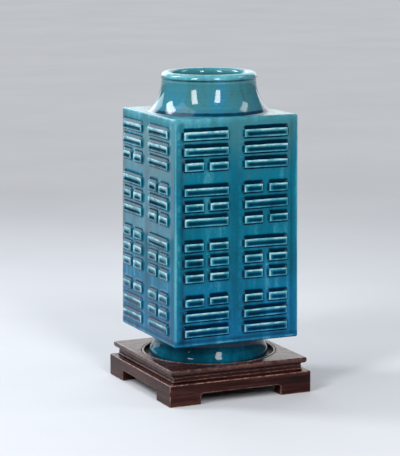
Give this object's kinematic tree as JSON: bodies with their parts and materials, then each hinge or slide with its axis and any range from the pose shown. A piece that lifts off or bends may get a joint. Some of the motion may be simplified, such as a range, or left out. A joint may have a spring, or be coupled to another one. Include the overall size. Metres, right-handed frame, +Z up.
{
  "type": "cong vase with wood stand",
  "caption": "Square cong vase with a round neck and foot and trigram bars in relief on each side, standing loose in the round recess of its joined wood stand.",
  "frame": {"origin": "under the middle of the stand, on the surface that its feet rest on", "axes": "+Z up through the mouth of the vase, -Y out of the broad side seen in the picture, -X out of the narrow side seen in the picture"},
  "size_m": [0.149, 0.149, 0.308],
  "materials": {
    "glaze": "glossy turquoise-blue glaze, thin and pale on edges, thick and dark in hollows",
    "rosewood": "dark red-brown hardwood, polished, worn paler along its edges"
  },
  "bodies": {
    "stand": {"stand_top": "rosewood", "front_waist": "rosewood", "right_waist": "rosewood", "back_waist": "rosewood", "left_waist": "rosewood", "front_apron": "rosewood", "right_apron": "rosewood", "back_apron": "rosewood", "left_apron": "rosewood", "front_left_block": "rosewood", "front_right_block": "rosewood", "back_right_block": "rosewood", "back_left_block": "rosewood"},
    "vase": {"foot_ring": "glaze", "base_slab": "glaze", "front_wall": "glaze", "right_wall": "glaze", "back_wall": "glaze", "left_wall": "glaze", "front_trigrams": "glaze", "right_trigrams": "glaze", "back_trigrams": "glaze", "left_trigrams": "glaze", "shoulder_slab": "glaze", "neck": "glaze"}
  },
  "joints": [
    {"name": "vase_lift", "type": "slide", "parent": "stand", "child": "vase", "axis": [0, 0, 1], "range_m": [0, 0.1]}
  ]
}
